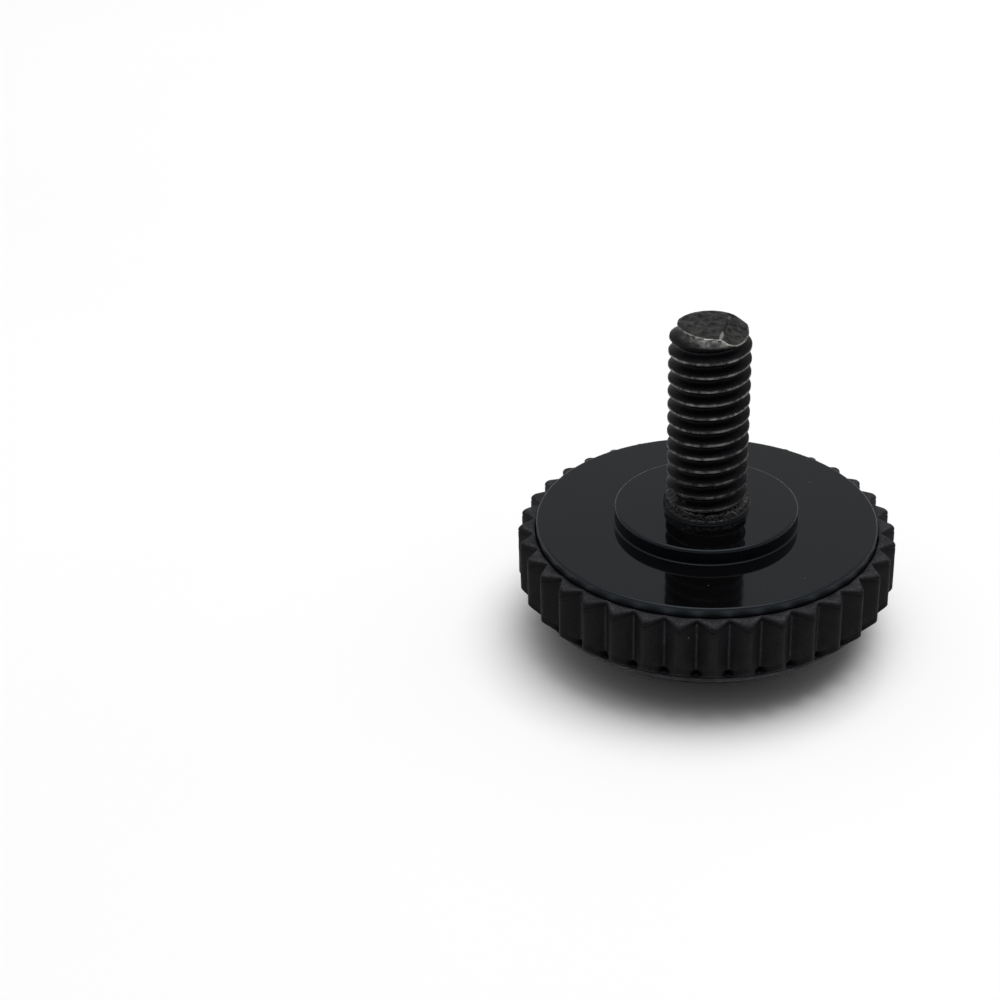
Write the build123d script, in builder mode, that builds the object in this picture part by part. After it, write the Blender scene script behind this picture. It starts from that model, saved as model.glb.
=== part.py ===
from build123d import *
import math
import os

os.makedirs("parts", exist_ok=True)

# Thumb screw: a threaded steel stud moulded into a round head. The head is a hard
# core with a soft toothed grip moulded over it. Millimetres, stud axis on Z and
# stud up. The origin is the centre of the slotted end, on which the head stands.

# Threaded stud, M4 x 0.7, as a plain shank at the crest radius
thread_radius = 1.95
stud_reach = 9.53  # boss face to tip
tip_cone_width = 0.39
tip_cone_height = 0.42
neck_cut = 0.39  # shank under the thread, inside the core
anchor_wall = 0.55  # hexagon hidden in the core, over the shank
anchor_height = 2.6
anchor_edge = 0.25
anchor_cover = 0.75  # core left between slot floor and anchor

# Core: slotted end, hub, plate and boss
head_height = 5.9  # slotted end to plate face
face_radius = 3.9
face_recess = 0.08  # slotted face lies this far inside the grip
slot_width = 1.9
slot_depth = 1.5
slot_end_wall = 0.27  # left between slot end and edge of face
ledge_width = 0.22  # grip's ledge, from plate to tooth roots
plate_rise = 0.45  # plate face above the ledge
plate_sunk = 1.35  # plate hidden in the grip
plate_edge_round = 0.12
boss_radius = 4.43
boss_height = 0.77
boss_edge_round = 0.14
boss_root_round = 0.07
lip_wall = 0.17  # raised ring around the stud
lip_height = 0.1
key_count = 6  # ribs that stop the grip from turning
key_width = 1.3
key_reach = 2.3
key_height = 1.2

# Grip: toothed rim, run-out, band and dome
tip_radius = 9.14
tooth_depth = 0.69
tooth_count = 36
tooth_tip_round = 0.16
tooth_root_round = 0.05
first_tooth_angle = 6.7  # degrees from +X
tooth_runout = 0.6  # sloped lower end of a tooth
ledge_edge_round = 0.08
band_height = 0.3  # from the dome's edge to the run-out
band_step = 0.04  # band lies this far inside the tooth roots
dome_edge_width = 0.12
dome_edge_height = 0.16
dome_edge_round = 0.14
dome_rise = 1.95
dome_start_slope = 12  # degrees, at the inner land
land_width = 0.45  # flat ring that the head stands on

# Heights from the slotted end
slot_floor = face_recess + slot_depth
anchor_floor = slot_floor + anchor_cover
ledge_z = head_height - plate_rise
plate_floor = ledge_z - plate_sunk
boss_z = head_height + boss_height
lip_z = boss_z + lip_height
stud_tip = boss_z + stud_reach
runout_floor = dome_rise + band_height
tooth_floor = runout_floor + tooth_runout

# Radii
anchor_apothem = thread_radius + anchor_wall
lip_radius = thread_radius + lip_wall
root_radius = tip_radius - tooth_depth
plate_radius = root_radius - ledge_width
band_radius = root_radius - band_step
dome_edge_radius = band_radius - dome_edge_width
land_radius = face_radius + land_width


with BuildPart() as threaded_stud:
    with BuildSketch(Plane.XZ):
        with BuildLine():
            Polyline(
                (0, anchor_floor),
                (thread_radius - neck_cut, anchor_floor),
                (thread_radius - neck_cut, lip_z),
                (thread_radius, lip_z),
                (thread_radius, stud_tip - tip_cone_height),
                (thread_radius - tip_cone_width, stud_tip),
                (0, stud_tip),
                close=True,
            )
        make_face()
    revolve(axis=Axis.Z)
    with BuildSketch(Plane.XY.offset(anchor_floor)):
        RegularPolygon(anchor_apothem, 6, major_radius=False)
    hexagon = extrude(amount=anchor_height)
    chamfer(hexagon.edges().filter_by(GeomType.LINE).group_by(Axis.Z)[0], anchor_edge)
threaded_stud.part.label = "threaded_stud"


with BuildPart() as core:
    # Half section of hub, plate, boss and the ring around the stud
    with BuildSketch(Plane.XZ):
        with BuildLine():
            Polyline(
                (0, face_recess),
                (face_radius, face_recess),
                (face_radius, plate_floor),
                (plate_radius, plate_floor),
                (plate_radius, head_height),
                (boss_radius, head_height),
                (boss_radius, boss_z),
                (lip_radius, boss_z),
                (lip_radius, lip_z),
                (0, lip_z),
                close=True,
            )
        corners = make_face().vertices()
        plate_corners = corners.filter_by(lambda v: abs(v.Y - head_height) < lip_height / 2)
        boss_corners = corners.filter_by(lambda v: abs(v.Y - boss_z) < lip_height / 2)
        fillet(plate_corners.sort_by(Axis.X)[-1], plate_edge_round)
        fillet(plate_corners.sort_by(Axis.X)[0], boss_root_round)
        fillet(boss_corners.sort_by(Axis.X)[-1], boss_edge_round)
    revolve(axis=Axis.Z)

    # Ribs from the hub outward, under the plate
    with BuildSketch(Plane.XY.offset(plate_floor)):
        with PolarLocations(0, key_count):
            Rectangle(face_radius + key_reach, key_width, align=(Align.MIN, Align.CENTER))
    extrude(amount=-key_height)

    # Driver slot, with ends that follow the edge of the face
    with BuildSketch(Plane.XY.offset(face_recess)):
        Circle(face_radius - slot_end_wall)
        Rectangle(2 * face_radius, slot_width, mode=Mode.INTERSECT)
    extrude(amount=slot_depth, mode=Mode.SUBTRACT)

    add(threaded_stud.part, mode=Mode.SUBTRACT)
core.part.label = "core"


with BuildPart() as rubber_grip:
    # Half section: inner land, dome, band, run-out and full height of the teeth
    slope = math.radians(dome_start_slope)
    with BuildSketch(Plane.XZ):
        with BuildLine():
            land = Line((face_radius, 0), (land_radius, 0))
            dome = TangentArc(
                land @ 1,
                (dome_edge_radius, dome_rise),
                tangent=(math.cos(slope), math.sin(slope)),
            )
            Polyline(
                dome @ 1,
                (band_radius, dome_rise + dome_edge_height),
                (band_radius, runout_floor),
                (tip_radius, tooth_floor),
                (tip_radius, ledge_z),
                (face_radius, ledge_z),
                land @ 0,
            )
        corners = make_face().vertices()
        fillet(corners.filter_by(lambda v: abs(v.Y - dome_rise) < dome_edge_height / 2), dome_edge_round)
        fillet(corners.group_by(Axis.Y)[-1].sort_by(Axis.X)[-1], ledge_edge_round)
    revolve(axis=Axis.Z)

    # Teeth: a star outline, whose points lie far enough out for their rounds to
    # reach the tip radius
    half_pitch = math.pi / tooth_count
    half_angle = math.atan2(root_radius * math.sin(half_pitch), tooth_depth)
    point_radius = tip_radius + tooth_tip_round * (1 / math.sin(half_angle) - 1)
    star_points = []
    for corner in range(2 * tooth_count):
        radius = root_radius if corner % 2 else point_radius
        angle = math.radians(first_tooth_angle) + corner * half_pitch
        star_points.append((radius * math.cos(angle), radius * math.sin(angle)))
    middle_radius = (point_radius + root_radius) / 2
    with BuildSketch():
        with BuildLine():
            Polyline(*star_points, close=True)
        corners = make_face().vertices()
        fillet(corners.filter_by(lambda v: math.hypot(v.X, v.Y) > middle_radius), tooth_tip_round)
        fillet(corners.filter_by(lambda v: math.hypot(v.X, v.Y) < middle_radius), tooth_root_round)
    extrude(amount=ledge_z, mode=Mode.INTERSECT)

    add(core.part, mode=Mode.SUBTRACT)
rubber_grip.part.label = "rubber_grip"


export_step(threaded_stud.part, "parts/threaded_stud.step")
export_step(core.part, "parts/core.step")
export_step(rubber_grip.part, "parts/rubber_grip.step")
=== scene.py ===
import math
import bmesh
import bpy
from mathutils import Matrix, Vector, noise


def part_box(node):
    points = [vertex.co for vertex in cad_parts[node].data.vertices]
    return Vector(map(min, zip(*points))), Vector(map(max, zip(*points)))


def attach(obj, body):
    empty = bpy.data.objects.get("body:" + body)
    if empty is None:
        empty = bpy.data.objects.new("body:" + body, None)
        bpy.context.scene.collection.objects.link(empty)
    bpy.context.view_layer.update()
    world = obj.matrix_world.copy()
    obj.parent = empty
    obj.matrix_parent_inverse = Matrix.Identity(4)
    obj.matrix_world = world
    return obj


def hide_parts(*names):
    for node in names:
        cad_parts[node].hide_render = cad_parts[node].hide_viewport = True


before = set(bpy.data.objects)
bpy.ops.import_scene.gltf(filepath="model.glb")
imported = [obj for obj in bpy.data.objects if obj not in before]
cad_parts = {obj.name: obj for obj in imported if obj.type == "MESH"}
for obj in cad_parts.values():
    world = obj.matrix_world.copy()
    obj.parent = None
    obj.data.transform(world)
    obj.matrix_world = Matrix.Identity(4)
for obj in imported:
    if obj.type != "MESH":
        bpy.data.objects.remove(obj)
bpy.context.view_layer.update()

mm = 0.001
coreLow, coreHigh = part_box("core")
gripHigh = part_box("rubber_grip")[1]
studLow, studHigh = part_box("threaded_stud")
plateRadius = coreHigh.x / mm
lipTop = coreHigh.z / mm
ledgeTop = gripHigh.z / mm
faceHeight = coreLow.z / mm  # slotted face, just inside the standing ring
studTip = studHigh.z / mm
anchorFloor = studLow.z / mm
hexRadius = studHigh.x / mm  # across the corners of the hidden hexagon

print("frame loaded")


# helpers

smoothAngle = 38  # edges sharper than this stay crisp, in degrees
flatKept = 0.02  # mm of flat held beside a round, so that it shades flat


def toLinear(hexColour):
    channels = [int(hexColour[i:i + 2], 16) / 255 for i in (1, 3, 5)]
    return [c / 12.92 if c <= 0.04045 else ((c + 0.055) / 1.055) ** 2.4 for c in channels] + [1.0]


def addNode(tree, kind, settings=None, links=None):
    # settings go to the node's own properties or, where it has none of that name, to its sockets
    node = tree.nodes.new(kind)
    for name, value in (settings or {}).items():
        if isinstance(name, str) and hasattr(node, name):
            setattr(node, name, value)
        else:
            node.inputs[name].default_value = value
    for name, source in (links or {}).items():
        tree.links.new(source, node.inputs[name])
    return node


def newMaterial(name):
    material = bpy.data.materials.new(name)
    material.use_nodes = True
    material.node_tree.nodes.clear()
    return material, material.node_tree


def addPiece(name, vertices, faces, material, wear_and_highlight=None):
    # vertices are in millimetres
    mesh = bpy.data.meshes.new(name)
    mesh.from_pydata([Vector(v) * mm for v in vertices], [], faces)
    piece = bpy.data.objects.new(name, mesh)
    bpy.context.scene.collection.objects.link(piece)
    if wear_and_highlight is not None:
        attribute = mesh.attributes.new("wear_and_highlight", "FLOAT", "POINT")
        attribute.data.foreach_set("value", wear_and_highlight)
    finishPiece(piece, material)
    return piece


def finishPiece(piece, material):
    bm = bmesh.new()
    bm.from_mesh(piece.data)
    bmesh.ops.recalc_face_normals(bm, faces=bm.faces)
    bm.to_mesh(piece.data)
    bm.free()
    piece.data.materials.clear()
    piece.data.materials.append(material)
    piece.data.shade_smooth()
    piece.data.set_sharp_from_angle(angle=math.radians(smoothAngle))
    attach(piece, "root")


def rounded(outline, steps=5):
    # outline holds (radius, height, corner round); a corner with a round becomes an arc
    points = []
    for k, (r, z, size) in enumerate(outline):
        corner = Vector((r, z))
        if not size:
            points.append((r, z))
            continue
        before = (Vector(outline[k - 1][:2]) - corner).normalized()
        after = (Vector(outline[(k + 1) % len(outline)][:2]) - corner).normalized()
        half = before.angle(after) / 2
        centre = corner + (before + after).normalized() * size / math.sin(half)
        start = corner + before * size / math.tan(half) - centre
        turn = start.angle_signed(corner + after * size / math.tan(half) - centre)
        points.append(tuple(centre + start + before * flatKept))
        for step in range(steps + 1):
            angle = -turn * step / steps
            x = start.x * math.cos(angle) - start.y * math.sin(angle)
            y = start.x * math.sin(angle) + start.y * math.cos(angle)
            points.append((centre.x + x, centre.y + y))
        points.append(tuple(Vector(points[-1]) + after * flatKept))
    return points


def lathe(outline, columns):
    # turns (radius, height) points round Z; the first and last points lie on the axis
    vertices = [(0, 0, outline[0][1])]
    for r, z in outline[1:-1]:
        for column in range(columns):
            angle = 2 * math.pi * column / columns
            vertices.append((r * math.cos(angle), r * math.sin(angle), z))
    vertices.append((0, 0, outline[-1][1]))
    last = len(vertices) - 1
    rings = len(outline) - 2
    faces = []
    for column in range(columns):
        beside = (column + 1) % columns
        faces.append((0, 1 + beside, 1 + column))
        for ring in range(rings - 1):
            a = 1 + ring * columns
            b = a + columns
            faces.append((a + column, a + beside, b + beside, b + column))
        a = 1 + (rings - 1) * columns
        faces.append((a + column, a + beside, last))
    return vertices, faces


# camera

cameraSettings = {
    "lens": 75.6,
    "elevation": 29.716,  # looks down by this much, along +Y
    "roll": -1.744,
    "place": (-9.95, -87.87, 57.37),
    "clip": (0.005, 10),  # metres
}

camera = bpy.data.objects.new("camera", bpy.data.cameras.new("camera"))
bpy.context.scene.collection.objects.link(camera)
camera.data.lens = cameraSettings["lens"]
camera.data.clip_start, camera.data.clip_end = cameraSettings["clip"]
tilt = Matrix.Rotation(math.radians(90 - cameraSettings["elevation"]), 4, "X")
roll = Matrix.Rotation(math.radians(cameraSettings["roll"]), 4, "Z")
camera.matrix_world = Matrix.Translation(Vector(cameraSettings["place"]) * mm) @ tilt @ roll
bpy.context.scene.camera = camera


# room: pale floor, pale walls under a bright ceiling, one large soft light high up behind on the right

roomSettings = {
    "floorColour": "#fafafa",
    "floorSize": 1600,
    "wallLight": 0.33,  # brightness of the surroundings up to the lower angle
    "nearWallShare": 0.35,  # the wall behind the camera is this much of it
    "wallTurn": (-0.9, 0.2),  # the near wall turns into the others between these shares of +Y
    "ceilingLight": 1.5,  # and above the upper angle
    "ceilingAngles": (50, 80),
    "keyPlace": (110, 90, 520),
    "keySize": 400,
    "keyPower": 1.9,
}


def makeFloorMaterial():
    # matt sprayed board: an even white with the faintest cloud in it
    material, tree = newMaterial("matt_white_board")
    place = addNode(tree, "ShaderNodeTexCoord")
    cloud = addNode(tree, "ShaderNodeTexNoise", {"Scale": 1 / (40 * mm), "Detail": 3},
                    {"Vector": place.outputs["Object"]})
    tone = addNode(tree, "ShaderNodeMapRange", {"To Min": 0.97, "To Max": 1.0},
                   {"Value": cloud.outputs["Fac"]})
    colour = addNode(tree, "ShaderNodeMix", {"data_type": "RGBA", "blend_type": "MULTIPLY", 0: 1.0,
                                             6: toLinear(roomSettings["floorColour"])},
                     {7: tone.outputs["Result"]})
    shader = addNode(tree, "ShaderNodeBsdfPrincipled", {"Roughness": 0.85, "IOR": 1.45},
                     {"Base Color": colour.outputs[2]})
    addNode(tree, "ShaderNodeOutputMaterial", None, {"Surface": shader.outputs["BSDF"]})
    return material


def makeRoom():
    half = roomSettings["floorSize"] / 2 * mm
    mesh = bpy.data.meshes.new("floor")
    mesh.from_pydata([(-half, -half, 0), (half, -half, 0), (half, half, 0), (-half, half, 0)], [],
                     [(0, 1, 2, 3)])
    floor = bpy.data.objects.new("floor", mesh)
    bpy.context.scene.collection.objects.link(floor)
    mesh.materials.append(makeFloorMaterial())

    world = bpy.data.worlds.new("surroundings")
    bpy.context.scene.world = world
    world.use_nodes = True
    # white walls that brighten into a lit ceiling
    tree = world.node_tree
    backdrop = tree.nodes["Background"]
    direction = addNode(tree, "ShaderNodeTexCoord")
    parts = addNode(tree, "ShaderNodeSeparateXYZ", None, {0: direction.outputs["Generated"]})
    low, high = [math.sin(math.radians(angle)) for angle in roomSettings["ceilingAngles"]]
    near, far = roomSettings["wallTurn"]
    wall = addNode(tree, "ShaderNodeMapRange",
                   {"From Min": near, "From Max": far,
                    "To Min": roomSettings["wallLight"] * roomSettings["nearWallShare"],
                    "To Max": roomSettings["wallLight"]}, {"Value": parts.outputs["Y"]})
    glow = addNode(tree, "ShaderNodeMapRange",
                   {"From Min": low, "From Max": high, "To Max": roomSettings["ceilingLight"],
                    "interpolation_type": "SMOOTHSTEP"},
                   {"Value": parts.outputs["Z"], "To Min": wall.outputs["Result"]})
    tree.links.new(glow.outputs["Result"], backdrop.inputs["Strength"])
    backdrop.inputs["Color"].default_value = (1, 1, 1, 1)

    lamp = bpy.data.lights.new("soft_key", "AREA")
    lamp.size = roomSettings["keySize"] * mm
    lamp.energy = roomSettings["keyPower"]
    key = bpy.data.objects.new("soft_key", lamp)
    key.location = Vector(roomSettings["keyPlace"]) * mm
    key.rotation_euler = key.location.to_track_quat("Z", "Y").to_euler()
    key.visible_glossy = False  # the lamp isn't mirrored in the plastic
    bpy.context.scene.collection.objects.link(key)

    bpy.context.scene.view_settings.view_transform = "Standard"


makeRoom()
print("camera and room ready")


# threaded stud: a cold-headed steel stud with a rolled M4 x 0.7 thread

studSettings = {
    "crestRadius": 1.95,
    "rootRadius": 1.53,
    "pitch": 0.7,
    "crestWidth": 0.08,
    "flankAngle": 60,  # between a flank and the stud's axis
    "threadSoftness": 0.06,  # rounds crest and root
    "crestAt": (173.5, 10.66),  # one crest of the helix: direction in degrees, height
    "columns": 128,
    "rowsPerTurn": 18,
    "leadHeight": 0.42,  # cone at the tip
    "leadWidth": 0.39,
    "tipRound": 0.05,
    "endWear": 0.2,
    "tipWorn": 0.45,  # the last turn is pressed in by this much on one side
    "wornHeight": 0.9,
    "wornSide": 235,  # direction of that side in degrees
    "tipSlope": 0.8,  # of the round at the tip
    "tipDrop": 0.025,  # the ridge lies this far under the top
    "endDepth": 1,  # the sawn end lies within this of the top
    "tipLean": (-0.035, -0.05),  # slope of the cut end, which is highest behind on the right
    "facetTop": (1.0, 0.95),  # the ridge between the cut end's two facets runs from here
    "facetSide": (0.893, -0.45),
    "facetTilt": 19,
    "threadCorners": 8,  # faces of the thread have no more corners than this, the facets have
    "ridgeCuts": 5,
    "rimFrom": 1.0,  # the rim lies outside this radius
    "rimWidth": 0.11,
    "rimRise": 0.02,  # burr round the sawn end
    "threadEnd": 0.3,  # below the lip, where the neck begins
    "neckRadius": 1.56,
    "anchorHeight": 2.6,
    "anchorEdge": 0.25,
    "unevenness": 0.012,
    "dentScale": (3, 1.6),  # around and along
    "fineScale": (14, 9),
    "crestFocus": 5,  # the higher, the nearer to the crest its unevenness stays
    "crestWear": (0.04, 0.58),  # least, and what scuffs add
    "crestBand": (0.05, 0.045),  # depth under the crest where wear begins, and its fade
    "scuffScale": 2.3,
    "rimWear": (0.4, 3.6),  # least, and what the front adds
    "turnWear": (1.5, 4.5),  # top of the last turn, and its loss per mm below
    "turnSpan": (0.12, 0.5),  # the last turn starts this far under the top and is this high
    "turnGap": 0.2,  # kept free of it under the top
    "turnFrom": 1.05,  # and inside this radius
    "bareFrom": 0.4,  # nothing is worn nearer to the lip
}


def makeSteelMaterial():
    # black-oxide steel, oiled: dark and half matt, with bare metal where the crests have rubbed
    material, tree = newMaterial("black_oxide_steel")
    place = addNode(tree, "ShaderNodeTexCoord")
    wear_and_highlight = addNode(tree, "ShaderNodeAttribute", {"attribute_name": "wear_and_highlight"})
    # rubbed patches about 0.3 mm long, oxide grain 0.06 mm, drawn coarser than the real crystals
    patches = addNode(tree, "ShaderNodeTexNoise",
                      {"Scale": 1 / (0.3 * mm), "Detail": 4, "Roughness": 0.65},
                      {"Vector": place.outputs["Object"]})
    grain = addNode(tree, "ShaderNodeTexNoise", {"Scale": 1 / (0.06 * mm), "Detail": 2},
                    {"Vector": place.outputs["Object"]})
    patchTone = addNode(tree, "ShaderNodeMapRange", {"From Min": 0.35, "From Max": 0.65},
                        {"Value": patches.outputs["Fac"]})
    rubbedAndHighlit = addNode(tree, "ShaderNodeMath", {"operation": "MULTIPLY"},
                     {0: wear_and_highlight.outputs["Fac"], 1: patchTone.outputs["Result"]})
    grainTone = addNode(tree, "ShaderNodeMapRange", {"From Min": 0.3, "From Max": 0.7},
                        {"Value": grain.outputs["Fac"]})
    oxide = addNode(tree, "ShaderNodeMix",
                    {"data_type": "RGBA", 6: toLinear("#1c1c1f"), 7: toLinear("#2f2f32")},
                    {0: grainTone.outputs["Result"]})
    colour = addNode(tree, "ShaderNodeMix", {"data_type": "RGBA", 7: toLinear("#c6c6c0")},
                     {0: rubbedAndHighlit.outputs["Value"], 6: oxide.outputs[2]})
    gloss = addNode(tree, "ShaderNodeMapRange", {"To Min": 0.46, "To Max": 0.3},
                    {"Value": rubbedAndHighlit.outputs["Value"]})
    bump = addNode(tree, "ShaderNodeBump", {"Strength": 0.5, "Distance": 0.01 * mm},
                   {"Height": grain.outputs["Fac"]})
    shader = addNode(tree, "ShaderNodeBsdfPrincipled", {"Metallic": 1.0},
                     {"Base Color": colour.outputs[2], "Roughness": gloss.outputs["Result"],
                      "Normal": bump.outputs["Normal"]})
    addNode(tree, "ShaderNodeOutputMaterial", None, {"Surface": shader.outputs["BSDF"]})
    return material


def threadRadius(phase):
    # phase runs 0 to 1 along the stud over one pitch, with the crest at a half
    away = abs(phase - 0.5) * studSettings["pitch"] - studSettings["crestWidth"] / 2
    depth = studSettings["crestRadius"] - studSettings["rootRadius"]
    sunk = max(0.0, away) * math.tan(math.radians(studSettings["flankAngle"]))
    soft = studSettings["threadSoftness"]
    sunk = depth - soft * math.log1p(math.exp((depth - sunk) / soft))
    return studSettings["crestRadius"] - max(0.0, sunk)


def tipRadiusAt(z):
    lead = studSettings["leadWidth"] / studSettings["leadHeight"]
    cone = studSettings["crestRadius"] - max(0.0, z - (studTip - studSettings["leadHeight"])) * lead
    edge = max(0.0, z - (studTip - studSettings["tipRound"]))
    return cone - edge * studSettings["tipSlope"]


def pressedIn(z, angle):
    height = 1 - (studTip - z) / studSettings["wornHeight"]
    facing = math.cos(angle - math.radians(studSettings["wornSide"]))
    return studSettings["tipWorn"] * max(0.0, min(1.0, height)) ** 1.5 * max(0.0, facing)


def roundNoise(angle, z, scale):
    # noise that closes up round the stud
    around, along = scale
    return noise.noise(Vector((math.cos(angle) * around, math.sin(angle) * around, z * along)))


def cutEnd(bm, point, normal):
    # slices off what lies beyond a plane and gives back the open edges
    everything = bm.verts[:] + bm.edges[:] + bm.faces[:]
    bmesh.ops.bisect_plane(bm, geom=everything, dist=1e-5, plane_co=point, plane_no=normal,
                           clear_outer=True)
    return [edge for edge in bm.edges if edge.is_boundary and edge.calc_length() > 0]


def studWear(point, rim):
    # rim is 1 along the rim of the sawn end, -1 on the end itself and 0 on the thread
    s = studSettings
    r = math.hypot(point.x, point.y)
    least, scuffed = s["crestWear"]
    depth, fade = s["crestBand"]
    crest = (r - (s["crestRadius"] - depth)) / fade
    scuffs = noise.noise(point * s["scuffScale"]) * 0.5 + 0.5
    wear_and_highlight = max(0.0, min(1.0, crest)) * (least + scuffed * scuffs)
    front = 0.5 - 0.5 * point.y / max(r, 0.1)
    turnTop, turnHeight = s["turnSpan"]
    below = studTip - turnTop - point.z
    if rim > 0.5:
        wear_and_highlight = s["rimWear"][0] + s["rimWear"][1] * front ** 2
    elif rim < 0:
        wear_and_highlight = s["endWear"]
    elif r > s["turnFrom"] and below < turnHeight and not rim and point.z < studTip - s["turnGap"]:
        wear_and_highlight = max(wear_and_highlight, (s["turnWear"][0] - s["turnWear"][1] * below) * front * scuffs)
    return wear_and_highlight if point.z > lipTop + s["bareFrom"] else 0.0


def makeStud():
    s = studSettings
    columns, rows = s["columns"], s["rowsPerTurn"]
    crestAngle, crestZ = s["crestAt"]
    # a strip one pitch wide is wound up the stud, so that mesh lines follow the helix
    turnsBelow = math.ceil((crestZ - lipTop) / s["pitch"]) + 2
    turns = turnsBelow + math.ceil((studTip - crestZ) / s["pitch"]) + 2
    startZ = crestZ - turnsBelow * s["pitch"] - s["pitch"] / 2
    bm = bmesh.new()
    grid = []
    for step in range((turns + 1) * columns):
        angle = math.radians(crestAngle) + 2 * math.pi * step / columns
        line = []
        for row in range(rows):
            z = startZ + s["pitch"] * (step / columns + row / rows)
            r = min(threadRadius(row / rows), tipRadiusAt(z)) - pressedIn(z, angle)
            dent = roundNoise(angle, z, s["dentScale"])
            fine = roundNoise(angle, z, s["fineScale"])
            crest = max(0.0, 1 - abs(row / rows - 0.5) * s["crestFocus"])
            r += (dent * 0.6 + fine * 0.4) * s["unevenness"] * (0.4 + crest) - s["unevenness"] * crest
            line.append(bm.verts.new((r * math.cos(angle), r * math.sin(angle), z)))
        grid.append(line)
    for step in range(turns * columns):
        line, beside = grid[step], grid[step + 1]
        for row in range(rows):
            if row + 1 < rows:
                bm.faces.new((line[row], beside[row], beside[row + 1], line[row + 1]))
            elif step + 1 + columns < len(grid):
                above = step + columns
                bm.faces.new((line[row], beside[row], grid[above + 1][0], grid[above][0]))
    loose = [v for v in bm.verts if not v.link_faces]
    bmesh.ops.delete(bm, geom=loose, context="VERTS")

    # tip: a sawn end of two facets, with a rubbed burr along its rim
    endFloor = studTip - s["endDepth"]
    lean = Vector((*s["tipLean"], 1)).normalized()
    top = Vector((*s["facetTop"], studTip - s["tipDrop"]))
    facet = math.radians(s["facetTilt"])
    side = Vector((*s["facetSide"], 0)).normalized()
    for normal in (lean, side * math.sin(facet) + Vector((0, 0, math.cos(facet)))):
        rim = [e for e in cutEnd(bm, top, normal) if min(v.co.z for v in e.verts) > endFloor]
        bmesh.ops.contextual_create(bm, geom=rim)
    ends = [f for f in bm.faces
            if len(f.verts) > s["threadCorners"] and f.calc_center_median().z > endFloor]
    # the ridge is worn only where it meets the rim
    ridge = [e for e in bm.edges if all(f in ends for f in e.link_faces) and len(e.link_faces) == 2]
    bmesh.ops.subdivide_edges(bm, edges=ridge, cuts=s["ridgeCuts"])
    rimLayer = bm.verts.layers.float.new("rim")
    for face in ends:
        for v in face.verts:
            v[rimLayer] = 1.0 if v.co.xy.length > s["rimFrom"] else 0.0
    bmesh.ops.inset_individual(bm, faces=ends, thickness=s["rimWidth"], depth=-s["rimRise"])
    for face in ends:
        for v in face.verts:
            v[rimLayer] = -1.0

    # shank under the boss: neck and hidden hexagon
    threadEnd = lipTop - s["threadEnd"]
    cutEnd(bm, (0, 0, threadEnd), (0, 0, -1))
    loop = [e for e in bm.edges if e.is_boundary]
    anchorTop = anchorFloor + s["anchorHeight"]
    # radius, height, and whether the ring is a hexagon
    shank = (
        (s["neckRadius"], threadEnd, False),
        (s["neckRadius"], anchorTop, False),
        (hexRadius, anchorTop, True),
        (hexRadius, anchorFloor + s["anchorEdge"], True),
        (hexRadius - s["anchorEdge"], anchorFloor, True),
    )
    for radius, z, isHexagon in shank:
        made = bmesh.ops.extrude_edge_only(bm, edges=loop)["geom"]
        loop = [e for e in made if isinstance(e, bmesh.types.BMEdge)]
        for v in [v for v in made if isinstance(v, bmesh.types.BMVert)]:
            angle = math.atan2(v.co.y, v.co.x)
            flat = (angle % (math.pi / 3)) - math.pi / 6
            r = radius * math.cos(math.pi / 6) / math.cos(flat) if isHexagon else radius
            v.co = (r * math.cos(angle), r * math.sin(angle), z)
    bmesh.ops.contextual_create(bm, geom=loop)
    bmesh.ops.recalc_face_normals(bm, faces=bm.faces)

    wearLayer = bm.verts.layers.float.new("wear_and_highlight")
    for v in bm.verts:
        v[wearLayer] = studWear(v.co, v[rimLayer])
    mesh = bpy.data.meshes.new("m4_stud")
    for v in bm.verts:
        v.co *= mm
    bm.to_mesh(mesh)
    bm.free()
    stud = bpy.data.objects.new("m4_stud", mesh)
    bpy.context.scene.collection.objects.link(stud)
    finishPiece(stud, makeSteelMaterial())
    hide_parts("threaded_stud")
    return stud


stud = makeStud()
print("stud ready", len(stud.data.polygons), "faces")


# core: one glossy moulding of hub, plate and boss, with a driver slot in its lower end

coreSettings = {
    "faceRadius": 3.9,
    "faceRound": 0.05,
    "plateFloor": 4.1,
    "headHeight": 5.9,
    "plateRound": 0.12,
    "bossRadius": 4.43,
    "bossHeight": 0.77,
    "bossRound": 0.14,
    "bossRootRound": 0.07,
    "lipRadius": 2.12,
    "slotWidth": 1.9,
    "slotDepth": 1.5,
    "slotEndWall": 0.27,
    "slotRound": 0.12,
    "slotEndSteps": 12,
    "floorRound": 0.05,
    "lipRound": 0.03,
    "boreInset": 0.02,  # the moulding grips the thread by this much
    "boreDepth": 0.32,  # below the lip, where the bore narrows to the neck
    "anchorGap": 0.02,
    "crispAngle": 30,
    "columns": 192,
    "wallDull": (0.12, 0.02, 0.45),  # from and to this far inside the plate's wall, and how rough
    "edgeDull": (0.12, 0.22),  # either side of the boss's edge, and how rough
}


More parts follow.
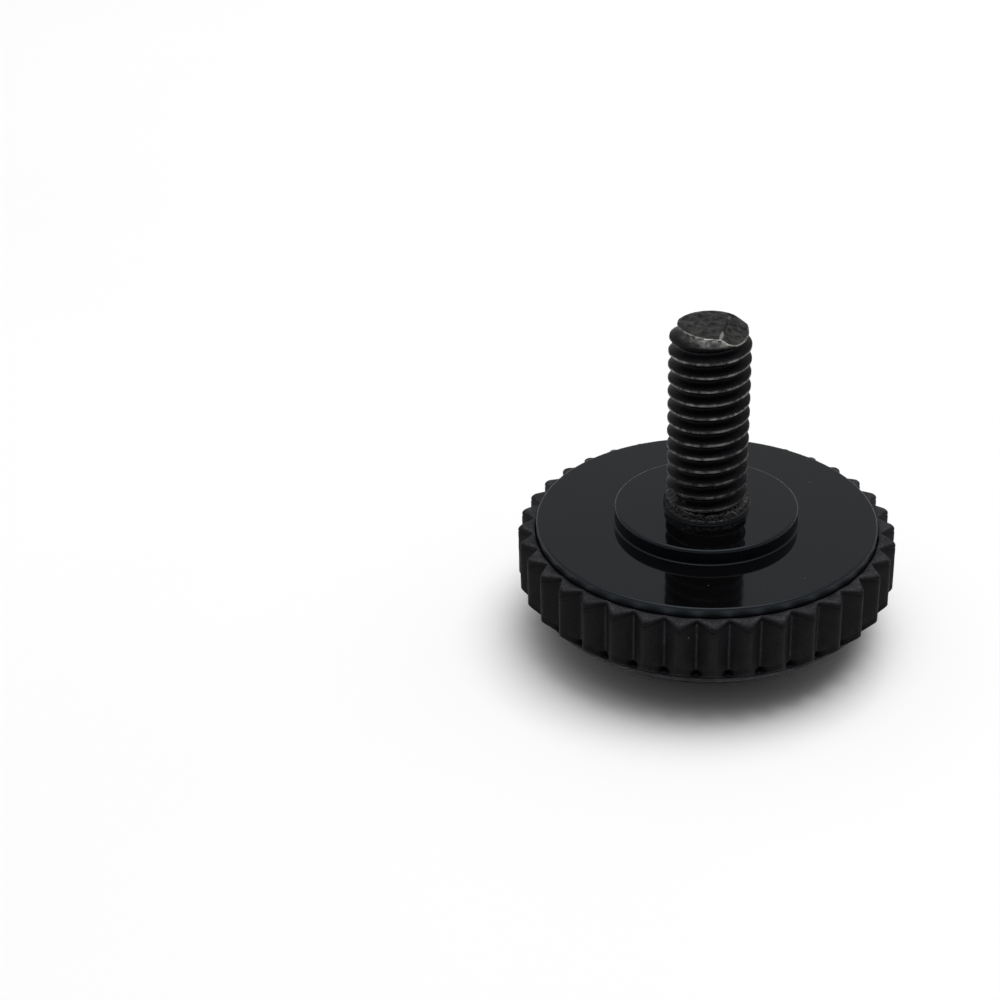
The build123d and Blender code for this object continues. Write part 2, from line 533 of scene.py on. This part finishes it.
def makePlasticMaterial():
    # hard black plastic, moulded against a polished tool: near mirror above, satin on the slotted end
    material, tree = newMaterial("polished_black_abs")
    place = addNode(tree, "ShaderNodeTexCoord")
    position = addNode(tree, "ShaderNodeSeparateXYZ", None, {0: place.outputs["Object"]})
    # handling film in soft patches about 4 mm across
    film = addNode(tree, "ShaderNodeTexNoise", {"Scale": 1 / (4 * mm), "Detail": 3, "Roughness": 0.55},
                   {"Vector": place.outputs["Object"]})
    filmRoughness = addNode(tree, "ShaderNodeMapRange",
                            {"From Min": 0.4, "From Max": 0.75, "To Min": 0.035, "To Max": 0.11},
                            {"Value": film.outputs["Fac"]})
    satin = addNode(tree, "ShaderNodeMapRange",
                    {"From Min": 2 * mm, "From Max": 4 * mm, "To Min": 0.36, "To Max": 0.0},
                    {"Value": position.outputs["Z"]})
    # the plate's wall, against the rubber, is duller too
    wallFrom, wallTo, wallRough = coreSettings["wallDull"]
    flat = addNode(tree, "ShaderNodeVectorMath", {"operation": "MULTIPLY", 1: (1, 1, 0)},
                   {0: place.outputs["Object"]})
    distance = addNode(tree, "ShaderNodeVectorMath", {"operation": "LENGTH"}, {0: flat.outputs["Vector"]})
    wall = addNode(tree, "ShaderNodeMapRange",
                   {"From Min": (plateRadius - wallFrom) * mm, "From Max": (plateRadius - wallTo) * mm,
                    "To Max": wallRough},
                   {"Value": distance.outputs["Value"]})
    # and so is the boss's edge, in a ring 0.12 mm to either side of it
    edgeReach, edgeRough = coreSettings["edgeDull"]
    edge = addNode(tree, "ShaderNodeMath",
                   {"operation": "COMPARE", 1: coreSettings["bossRadius"] * mm, 2: edgeReach * mm},
                   {0: distance.outputs["Value"]})
    edges = addNode(tree, "ShaderNodeMath", {"operation": "MULTIPLY_ADD", 1: edgeRough},
                    {0: edge.outputs["Value"], 2: wall.outputs["Result"]})
    smooth = addNode(tree, "ShaderNodeMath", {"operation": "ADD"},
                     {0: filmRoughness.outputs["Result"], 1: satin.outputs["Result"]})
    roughness = addNode(tree, "ShaderNodeMath", {"operation": "ADD"},
                        {0: smooth.outputs["Value"], 1: edges.outputs["Value"]})
    # dust: cells 0.5 mm apart, of which a few hold a speck 0.05 mm across
    cells = addNode(tree, "ShaderNodeTexVoronoi", {"Scale": 1 / (0.5 * mm)},
                    {"Vector": place.outputs["Object"]})
    pick = addNode(tree, "ShaderNodeSeparateColor", None, {"Color": cells.outputs["Color"]})
    few = addNode(tree, "ShaderNodeMath", {"operation": "GREATER_THAN", 1: 0.96}, {0: pick.outputs["Red"]})
    near = addNode(tree, "ShaderNodeMath", {"operation": "LESS_THAN", 1: 0.06},
                   {0: cells.outputs["Distance"]})
    speck = addNode(tree, "ShaderNodeMath", {"operation": "MULTIPLY"},
                    {0: few.outputs["Value"], 1: near.outputs["Value"]})
    colour = addNode(tree, "ShaderNodeMix",
                     {"data_type": "RGBA", 6: toLinear("#070708"), 7: toLinear("#4c4c4a")},
                     {0: speck.outputs["Value"]})
    # shallow sink and flow waves from the moulding, about 2.5 mm long
    waves = addNode(tree, "ShaderNodeTexNoise", {"Scale": 1 / (2.5 * mm), "Detail": 1},
                    {"Vector": place.outputs["Object"]})
    bump = addNode(tree, "ShaderNodeBump", {"Strength": 0.35, "Distance": 0.012 * mm},
                   {"Height": waves.outputs["Fac"]})
    shader = addNode(tree, "ShaderNodeBsdfPrincipled", {"IOR": 1.54, "Specular Tint": toLinear("#e2f0ff")},
                     {"Base Color": colour.outputs[2], "Roughness": roughness.outputs["Value"],
                      "Normal": bump.outputs["Normal"]})
    addNode(tree, "ShaderNodeOutputMaterial", None, {"Surface": shader.outputs["BSDF"]})
    return material


def slotCutter():
    # a block with rounded floor edges, whose ends follow the edge of the round face
    s = coreSettings
    reach = s["faceRadius"] - s["slotEndWall"]
    half = s["slotWidth"] / 2
    swing = math.asin(half / reach)
    steps = s["slotEndSteps"]
    outline = []
    for side in (0, math.pi):
        for step in range(steps + 1):
            angle = side - swing + 2 * swing * step / steps
            outline.append((reach * math.cos(angle), reach * math.sin(angle)))
    bm = bmesh.new()
    low = [bm.verts.new((x, y, faceHeight - 1)) for x, y in outline]
    bottom = bm.faces.new(low)
    top = bmesh.ops.extrude_face_region(bm, geom=[bottom])["geom"]
    for v in [v for v in top if isinstance(v, bmesh.types.BMVert)]:
        v.co.z = faceHeight + s["slotDepth"]
    rim = [e for e in bm.edges if min(v.co.z for v in e.verts) > faceHeight]
    bmesh.ops.bevel(bm, geom=rim, offset=s["slotRound"], segments=3, profile=0.5, affect="EDGES")
    for v in bm.verts:
        v.co *= mm
    bmesh.ops.recalc_face_normals(bm, faces=bm.faces)
    mesh = bpy.data.meshes.new("slot_cutter")
    bm.to_mesh(mesh)
    bm.free()
    cutter = bpy.data.objects.new("slot_cutter", mesh)
    bpy.context.scene.collection.objects.link(cutter)
    return cutter


def makeCore(plastic):
    s = coreSettings
    neck = studSettings["neckRadius"]
    anchorTop = anchorFloor + studSettings["anchorHeight"]
    bossTop = s["headHeight"] + s["bossHeight"]
    hollowFloor = anchorFloor - s["anchorGap"]
    # outside from the slotted face up to the lip, then down inside round the stud
    outline = rounded([
        (0, faceHeight, 0),
        (s["faceRadius"], faceHeight, s["faceRound"]),
        (s["faceRadius"], s["plateFloor"], 0),
        (plateRadius, s["plateFloor"], s["floorRound"]),
        (plateRadius, s["headHeight"], s["plateRound"]),
        (s["bossRadius"], s["headHeight"], s["bossRootRound"]),
        (s["bossRadius"], bossTop, s["bossRound"]),
        (s["lipRadius"], bossTop, s["lipRound"]),
        (s["lipRadius"], lipTop, s["lipRound"]),
        (studSettings["crestRadius"] - s["boreInset"], lipTop, s["boreInset"]),
        (neck, lipTop - s["boreDepth"], 0),
        (neck, anchorTop, 0),
        (hexRadius, anchorTop, 0),
        (hexRadius, hollowFloor, 0),
        (0, hollowFloor, 0),
    ])
    vertices, faces = lathe(outline, s["columns"])
    core = addPiece("core_moulding", vertices, faces, plastic)
    cutter = slotCutter()
    cut = core.modifiers.new("slot", "BOOLEAN")
    cut.operation = "DIFFERENCE"
    cut.solver = "EXACT"
    cut.object = cutter
    bpy.context.view_layer.update()
    done = bpy.data.meshes.new_from_object(core.evaluated_get(bpy.context.evaluated_depsgraph_get()))
    core.modifiers.clear()
    core.data = done
    bpy.data.objects.remove(cutter)
    core.data.shade_smooth()
    core.data.set_sharp_from_angle(angle=math.radians(s["crispAngle"]))
    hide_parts("core")
    return core


plastic = makePlasticMaterial()
core = makeCore(plastic)
print("core ready", len(core.data.polygons), "faces")


# moulding flash: the thin ragged film of plastic that climbed the thread above the boss

flashSettings = {
    "outerRadius": 2.12,
    "innerRadius": 1.6,
    "height": 0.3,
    "climb": 0.5,  # extra height on the side facing -X
    "raggedness": 0.16,
    "leastHeight": 0.1,
    "sunk": 0.02,  # below the lip, so that it meets the boss
    "waviness": 0.04,  # of its outer radius
    "crumple": 0.05,
    "innerRise": 0.28,  # its inner edge clings this much higher to the thread
    "columns": 300,
}


def makeFlashMaterial():
    # the same plastic squeezed thin: dull, flaky and greyed at its torn edge
    material, tree = newMaterial("torn_plastic_flash")
    place = addNode(tree, "ShaderNodeTexCoord")
    wear_and_highlight = addNode(tree, "ShaderNodeAttribute", {"attribute_name": "wear_and_highlight"})
    # flakes about 0.12 mm across
    flakes = addNode(tree, "ShaderNodeTexNoise", {"Scale": 1 / (0.12 * mm), "Detail": 3},
                     {"Vector": place.outputs["Object"]})
    pale = addNode(tree, "ShaderNodeMapRange", {"From Min": 0.54, "From Max": 0.72},
                   {"Value": flakes.outputs["Fac"]})
    edge = addNode(tree, "ShaderNodeMath", {"operation": "MULTIPLY"},
                   {0: wear_and_highlight.outputs["Fac"], 1: pale.outputs["Result"]})
    colour = addNode(tree, "ShaderNodeMix",
                     {"data_type": "RGBA", 6: toLinear("#050506"), 7: toLinear("#5c5c5e")},
                     {0: edge.outputs["Value"]})
    bump = addNode(tree, "ShaderNodeBump", {"Strength": 1.0, "Distance": 0.05 * mm},
                   {"Height": flakes.outputs["Fac"]})
    shader = addNode(tree, "ShaderNodeBsdfPrincipled", {"IOR": 1.54, "Roughness": 0.24},
                     {"Base Color": colour.outputs[2], "Normal": bump.outputs["Normal"]})
    addNode(tree, "ShaderNodeOutputMaterial", None, {"Surface": shader.outputs["BSDF"]})
    return material


def makeFlash():
    s = flashSettings
    vertices = []
    wearsAndHighlights = []
    for column in range(s["columns"]):
        angle = 2 * math.pi * column / s["columns"]
        around = Vector((math.cos(angle), math.sin(angle), 0))
        coarse = noise.noise(around * 1.8 + Vector((0, 0, 4)))
        ragged = noise.noise(around * 5) * 0.75 + noise.noise(around * 13) * 0.25
        leftward = max(0.0, -math.cos(angle)) ** 2
        rise = s["height"] + s["climb"] * leftward * (0.6 + 0.4 * coarse) + s["raggedness"] * ragged
        rise = max(s["leastHeight"], rise)
        outer = s["outerRadius"] - s["waviness"] + s["waviness"] * coarse
        rough = [noise.noise(around * 16 + Vector((0, 0, 3 * row))) * s["crumple"] for row in range(4)]
        # radius, height and wear, from its foot on the thread out, up and back in
        outline = [
            (s["innerRadius"], -s["sunk"], 0.0),
            (outer, -s["sunk"], 0.5),
            (outer + 0.01, 0.05, 0.4),
            (outer - 0.05 + rough[0], 0.3 * rise, 0.05),
            (outer - 0.07 + rough[1], 0.65 * rise, 0.15),
            (outer - 0.09 + rough[2], rise - 0.02, 0.9),
            (outer - 0.15 + rough[3], rise, 1.0),
            (s["innerRadius"], rise + s["innerRise"], 0.2),
        ]
        for r, z, wear_and_highlight in outline:
            vertices.append((r * math.cos(angle), r * math.sin(angle), lipTop + z))
            wearsAndHighlights.append(wear_and_highlight)
    section = len(outline)
    faces = []
    for column in range(s["columns"]):
        a = column * section
        b = (column + 1) % s["columns"] * section
        for row in range(section):
            beside = (row + 1) % section
            faces.append((a + row, b + row, b + beside, a + beside))
    return addPiece("moulding_flash", vertices, faces, makeFlashMaterial(), wearsAndHighlights)


flash = makeFlash()
print("flash ready", len(flash.data.polygons), "faces")


# grip: soft black rubber moulded round the core, toothed at the rim and domed below

firstTooth = 6.7  # direction of one tooth's tip, degrees from +X
tipAside = math.radians(min(firstTooth % 10, 10 - firstTooth % 10))  # from +X to the nearest tip

gripSettings = {
    "faceRadius": 3.9,
    "landWidth": 0.45,
    "domeSlope": 12,
    "domeRise": 1.95,
    "domeEdgeWidth": 0.12,
    "domeEdgeHeight": 0.16,
    "tipRadius": gripHigh.x / mm / math.cos(tipAside) - 0.002,  # just inside the solid's
    "toothDepth": 0.69,
    "toothCount": 36,
    "toothTipRound": 0.34,
    "toothRootRound": 0.06,
    "bandStep": 0.04,
    "bandHeight": 0.3,
    "runout": 0.6,  # sloped lower end of a tooth
    "pocketDepth": 0.28,
    "pocketWidth": 0.22,
    "pocketHeight": 0.34,
    "creaseHeight": 0.13,  # dark strip between the band and the teeth's lower ends
    "creaseDepth": 0.1,
    "nick": 0.035,  # depth of the crease under the ledge's edge
    "edgeRound": 0.12,
    "tipDroop": 0.12,  # extra rounding of the ledge's edge at a tooth's tip
    "seam": 0.055,  # gap that shows as a dark line beside the plate
    "seamDepths": (0.07, 0.4, 0.5),  # its rounded top, its wall and where it closes
    "columnsPerTooth": 20,
    "domeSteps": 14,
    "rootLift": 1.2,  # shape of the round in a valley, in shares of toothRootRound
    "rootSpread": 1.6,
    "rootFlat": 0.35,
    "leastFlank": 0.04,  # height that a slope has even in a valley
    "boreGap": 0.01,
    "unevenness": 0.014,
    "unevenFrom": 5,  # only outside this radius
    "unevenScales": (1.3, 4.1),
    "flankWear": 0.08,
    "valleyWear": 0.35,  # pale along the bottoms of the valleys
    "valleyWidth": 0.05,
    "scuffScale": 1.7,
    "scuffs": (0.45, 1.1),  # least share of wear, and what scuffs add
}


def makeRubberMaterial():
    # carbon-black rubber from a spark-eroded tool: matt, finely grained, grey where it has rubbed, and the
    # same grey laid on as painted highlight along the band under the teeth and on the ledge's edge and top
    material, tree = newMaterial("moulded_black_rubber")
    place = addNode(tree, "ShaderNodeTexCoord")
    wear_and_highlight = addNode(tree, "ShaderNodeAttribute", {"attribute_name": "wear_and_highlight"})
    # grain 0.09 mm, drawn about twice as coarse as the real tool marks so that it shows
    grain = addNode(tree, "ShaderNodeTexNoise", {"Scale": 1 / (0.09 * mm), "Detail": 3, "Roughness": 0.6},
                    {"Vector": place.outputs["Object"]})
    # bloom: cloudy patches about 1.6 mm across
    bloom = addNode(tree, "ShaderNodeTexNoise", {"Scale": 1 / (1.6 * mm), "Detail": 4, "Roughness": 0.6},
                    {"Vector": place.outputs["Object"]})
    bloomTone = addNode(tree, "ShaderNodeMapRange", {"From Min": 0.3, "From Max": 0.7},
                        {"Value": bloom.outputs["Fac"]})
    grainTone = addNode(tree, "ShaderNodeMapRange", {"From Min": 0.36, "From Max": 0.68, "To Min": 0.3},
                        {"Value": grain.outputs["Fac"]})
    rubber = addNode(tree, "ShaderNodeMix",
                     {"data_type": "RGBA", 6: toLinear("#08080a"), 7: toLinear("#101013")},
                     {0: bloomTone.outputs["Result"]})
    rubbedAndHighlit = addNode(tree, "ShaderNodeMath", {"operation": "MULTIPLY"},
                     {0: wear_and_highlight.outputs["Fac"], 1: grainTone.outputs["Result"]})
    # the pale grey is real wear and also painted highlight where the section marks the band and the ledge
    # pale
    wornAndHighlit = addNode(tree, "ShaderNodeMix", {"data_type": "RGBA", 7: toLinear("#58585c")},
                   {0: rubbedAndHighlit.outputs["Value"], 6: rubber.outputs[2]})
    # lint: cells 0.8 mm apart, of which a few hold a pale fleck 0.05 mm across
    cells = addNode(tree, "ShaderNodeTexVoronoi", {"Scale": 1 / (0.8 * mm)},
                    {"Vector": place.outputs["Object"]})
    pick = addNode(tree, "ShaderNodeSeparateColor", None, {"Color": cells.outputs["Color"]})
    few = addNode(tree, "ShaderNodeMath", {"operation": "GREATER_THAN", 1: 0.96}, {0: pick.outputs["Red"]})
    near = addNode(tree, "ShaderNodeMath", {"operation": "LESS_THAN", 1: 0.045},
                   {0: cells.outputs["Distance"]})
    fleck = addNode(tree, "ShaderNodeMath", {"operation": "MULTIPLY"},
                    {0: few.outputs["Value"], 1: near.outputs["Value"]})
    colour = addNode(tree, "ShaderNodeMix", {"data_type": "RGBA", 7: toLinear("#6c6c6a")},
                     {0: fleck.outputs["Value"], 6: wornAndHighlit.outputs[2]})
    bump = addNode(tree, "ShaderNodeBump", {"Strength": 0.6, "Distance": 0.012 * mm},
                   {"Height": grain.outputs["Fac"]})
    gloss = addNode(tree, "ShaderNodeMapRange", {"To Min": 0.56, "To Max": 0.68},
                    {"Value": bloom.outputs["Fac"]})
    shader = addNode(tree, "ShaderNodeBsdfPrincipled", {"IOR": 1.52, "Specular IOR Level": 0.1},
                     {"Base Color": colour.outputs[2], "Roughness": gloss.outputs["Result"],
                      "Normal": bump.outputs["Normal"]})
    addNode(tree, "ShaderNodeOutputMaterial", None, {"Surface": shader.outputs["BSDF"]})
    return material


def toothOutline(away):
    # radius of the toothed outline at an angle away from a tooth's tip, up to half a pitch
    s = gripSettings
    rootRadius = s["tipRadius"] - s["toothDepth"]
    half = math.pi / s["toothCount"]
    flank = math.atan2(rootRadius * math.sin(half), s["toothDepth"])
    point = s["tipRadius"] + s["toothTipRound"] * (1 / math.sin(flank) - 1)
    root = Vector((rootRadius * math.cos(half), rootRadius * math.sin(half)))
    run = root - Vector((point, 0))
    line = point * run.y / (math.cos(away) * run.y - math.sin(away) * run.x)
    centre = s["tipRadius"] - s["toothTipRound"]
    reach = s["toothTipRound"] ** 2 - (centre * math.sin(away)) ** 2
    touch = s["toothTipRound"] * math.cos(flank) / centre
    if reach > 0 and away < touch:
        line = min(line, centre * math.cos(away) + math.sqrt(reach))
    near = half - away
    lift = s["toothRootRound"] * s["rootLift"]
    spread = lift * s["rootSpread"] / rootRadius
    if near < spread:
        flat = s["rootFlat"]
        line = max(line, rootRadius + lift * (flat + (1 - flat) * (near / spread) ** 2))
    return line


def domeRows():
    # the dome is an arc that leaves the standing ring at its slope and ends under the band
    s = gripSettings
    start = Vector((s["faceRadius"] + s["landWidth"], 0))
    bandRadius = s["tipRadius"] - s["toothDepth"] - s["bandStep"]
    end = Vector((bandRadius - s["domeEdgeWidth"], s["domeRise"]))
    chord = end - start
    first = math.radians(s["domeSlope"])
    bend = math.atan2(chord.y, chord.x) - first
    radius = chord.length / 2 / math.sin(bend)
    centre = start + radius * Vector((-math.sin(first), math.cos(first)))
    rows = []
    for step in range(s["domeSteps"] + 1):
        angle = first + 2 * bend * step / s["domeSteps"]
        rows.append((centre.x + radius * math.sin(angle), centre.y - radius * math.cos(angle)))
    return rows


def gripSection(away):
    # one closed section, as (radius, height, wear and painted highlight), from the bore's lower edge outward
    # and back
    s = gripSettings
    tooth = toothOutline(away)
    band = s["tipRadius"] - s["toothDepth"] - s["bandStep"]
    bandTop = s["domeRise"] + s["bandHeight"]
    slope = s["runout"] / (s["tipRadius"] - band)
    creaseTop = bandTop + s["creaseHeight"]
    # height at which the sloped lower end meets the tooth's flank
    corner = max(bandTop + slope * (tooth - band), creaseTop + s["leastFlank"])
    edge = s["edgeRound"] + s["tipDroop"] * max(0.0, 1 - (s["tipRadius"] - tooth) / s["toothDepth"])
    aside = (math.pi / s["toothCount"] - abs(away)) * tooth  # from the bottom of the valley
    flank = s["flankWear"] + s["valleyWear"] * math.exp(-(aside / s["valleyWidth"]) ** 2)
    bore = s["faceRadius"] + s["boreGap"]

    # standing ring, dome and band
    rows = [
        (bore, 0.06, 0.2),
        (s["faceRadius"] + 0.025, 0.02, 0.4),
        (s["faceRadius"] + 0.07, 0, 0.3),
    ]
    rows += [(r, z, 0.0) for r, z in domeRows()]
    # painted highlight: the dome's edge and the band are marked pale for the light that the band catches
    rows[-1] = (rows[-1][0] - 0.03, rows[-1][1] - 0.02, 0.5)
    rows += [
        (band - 0.06, s["domeRise"] + 0.06, 0.7),
        (band - 0.01, s["domeRise"] + s["domeEdgeHeight"], 0.5),
        (band, bandTop - 0.04, 0.5),
        (band - 0.03, bandTop, 0.2),
    ]

    # crease over the band, then the sloped lower end of the tooth
    rows += [
        (band - s["creaseDepth"], bandTop + 0.03, 0.0),
        (band - s["creaseDepth"], creaseTop - 0.03, 0.0),
    ]
    for share in (0, 0.25, 0.5, 0.75, 0.92):
        z = creaseTop + (corner - creaseTop) * share
        rows.append((min(tooth - 0.004 * (1 - share), band + (z - bandTop) / slope), z, flank * 0.6))
    rows.append((tooth - 0.012, corner - 0.012, 0.3 + 0.7 * flank))

    # a pocket in the lower end of each valley, and the flank up to a crease under the ledge's edge
    pocket = tooth - s["pocketDepth"] * math.exp(-(aside / s["pocketWidth"]) ** 2)
    top = corner + s["pocketHeight"]
    rows += [(pocket, corner + 0.03, 0.0), (pocket, top - 0.06, 0.0), (tooth, top, flank)]
    for step in range(1, 6):
        rows.append((tooth, top + (ledgeTop - edge - 0.12 - top) * step / 5, flank))
    for drop in (0.07, 0.02):
        rows.append((tooth - s["nick"], ledgeTop - edge - drop, 0.0))

    # the ledge: its rounded edge, its top and the seam beside the plate; the edge and top are marked pale,
    # partly rubbed wear and partly painted highlight
    for turn, wear_and_highlight in ((5, 0.05), (30, 0.1), (60, 0.35), (90, 0.5)):
        turn = math.radians(turn)
        rows.append((tooth - edge * (1 - math.cos(turn)), ledgeTop - edge * (1 - math.sin(turn)), wear_and_highlight))
    inner = plateRadius + s["seam"]
    for share, wear_and_highlight in ((0.35, 0.45), (0.7, 0.38), (0.92, 0.25)):
        rows.append((tooth - edge + (inner - tooth + edge) * share, ledgeTop - 0.03 * share, wear_and_highlight))
    seamTop, seamWall, seamFloor = s["seamDepths"]
    plateWall = plateRadius + s["boreGap"]
    plateFloor = coreSettings["plateFloor"] - s["boreGap"]
    rows += [
        (inner, ledgeTop - seamTop, 0.0),
        (inner, ledgeTop - seamWall, 0.0),
        (plateWall, ledgeTop - seamFloor, 0.0),
        (plateWall, plateFloor, 0.0),
        (bore, plateFloor, 0.0),
    ]
    return rows


def makeGrip():
    s = gripSettings
    half = math.pi / s["toothCount"]
    perHalf = s["columnsPerTooth"] // 2
    vertices = []
    wearsAndHighlights = []
    sections = []
    for step in range(perHalf + 1):
        away = half * (0.5 - 0.5 * math.cos(math.pi * step / perHalf))
        sections.append((away, gripSection(away)))
    # one tooth: out along one flank and back along the other
    order = sections + [(-away, rows) for away, rows in sections[-2:0:-1]]
    large, small = s["unevenScales"]
    least, scuffed = s["scuffs"]
    rowCount = len(sections[0][1])
    for tooth in range(s["toothCount"]):
        for away, rows in order:
            angle = math.radians(firstTooth) + 2 * half * tooth + (away if away >= 0 else 2 * half + away)
            for r, z, wear_and_highlight in rows:
                place = Vector((r * math.cos(angle), r * math.sin(angle), z))
                if r > s["unevenFrom"]:
                    r -= s["unevenness"] * abs(noise.noise(place * large) + 0.5 * noise.noise(place * small))
                scuff = noise.noise(place * s["scuffScale"]) * 0.5 + 0.5
                vertices.append((r * math.cos(angle), r * math.sin(angle), z))
                wearsAndHighlights.append(max(0.0, min(1.0, wear_and_highlight * (least + scuffed * scuff))))
    faces = []
    total = s["toothCount"] * len(order)
    for column in range(total):
        a = column * rowCount
        b = (column + 1) % total * rowCount
        for row in range(rowCount):
            beside = (row + 1) % rowCount
            faces.append((a + row, b + row, b + beside, a + beside))
    grip = addPiece("toothed_grip", vertices, faces, makeRubberMaterial(), wearsAndHighlights)
    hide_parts("rubber_grip")
    return grip


grip = makeGrip()
print("grip ready", len(grip.data.polygons), "faces")
